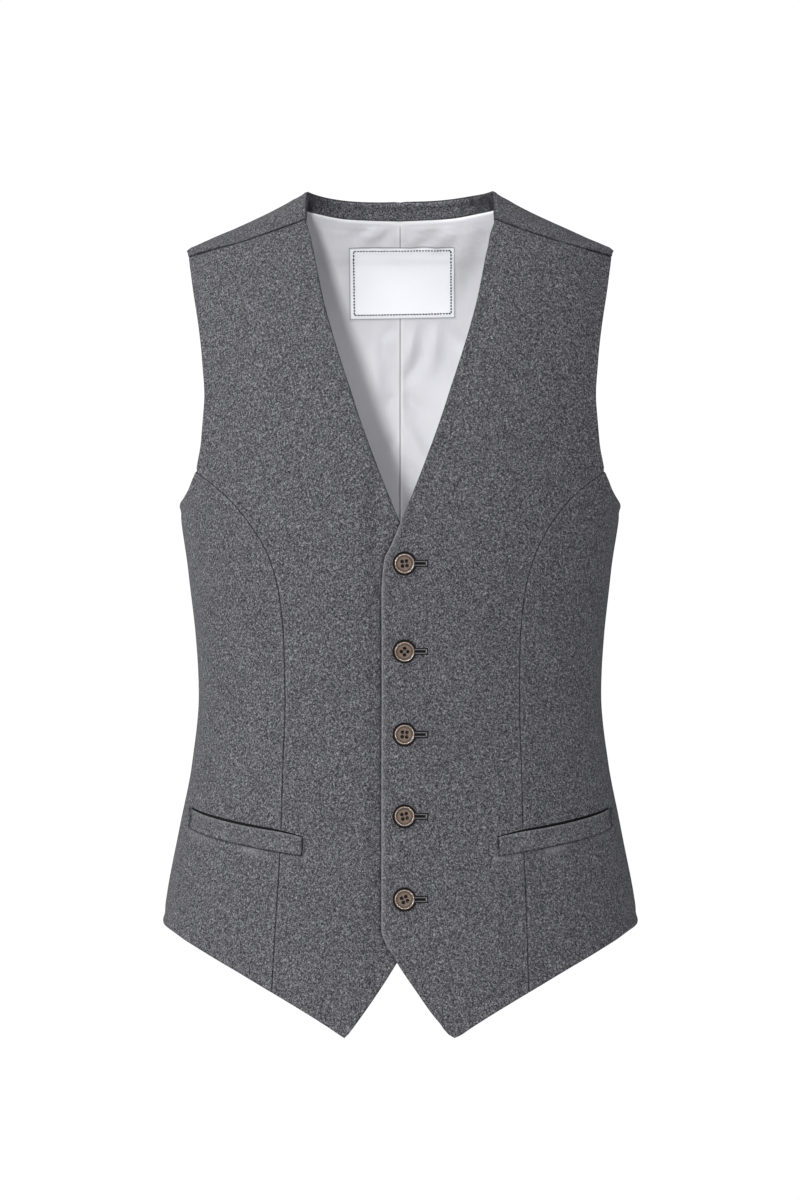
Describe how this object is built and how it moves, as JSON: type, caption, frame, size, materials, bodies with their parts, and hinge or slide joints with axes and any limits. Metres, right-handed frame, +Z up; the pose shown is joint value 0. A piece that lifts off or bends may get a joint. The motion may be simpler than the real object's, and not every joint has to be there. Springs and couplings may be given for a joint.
{
  "type": "suit waistcoat",
  "caption": "Single-breasted V-neck suit waistcoat in grey wool, filled out and hollow, with welt pockets, pointed fronts, curved front seams and a satin back lining.",
  "frame": {"origin": "midway between the two points where the shoulder ridge meets the neck, which is where the wearer's shoulders carry the garment; no material lies on it", "axes": "+Z up, the fronts face -Y, +X is the wearer's left, which is the front that laps over"},
  "size_m": [0.373, 0.245, 0.6526],
  "materials": {
    "suiting": "brushed grey wool flannel of light and dark fibres",
    "lining_satin": "smooth silver satin lining",
    "label_satin": "close white woven satin",
    "horn": "polished brown horn-like resin"
  },
  "bodies": {
    "root": {"front_left": "suiting", "front_right": "suiting", "side_front_left": "suiting", "side_front_right": "suiting", "back_left": "suiting", "back_right": "suiting", "neck_facing": "suiting", "pocket_welt_left": "suiting", "pocket_welt_right": "suiting", "lining_back_left": "lining_satin", "lining_back_right": "lining_satin", "label": "label_satin", "button_1": "horn", "button_2": "horn", "button_3": "horn", "button_4": "horn", "button_5": "horn"}
  },
  "joints": []
}
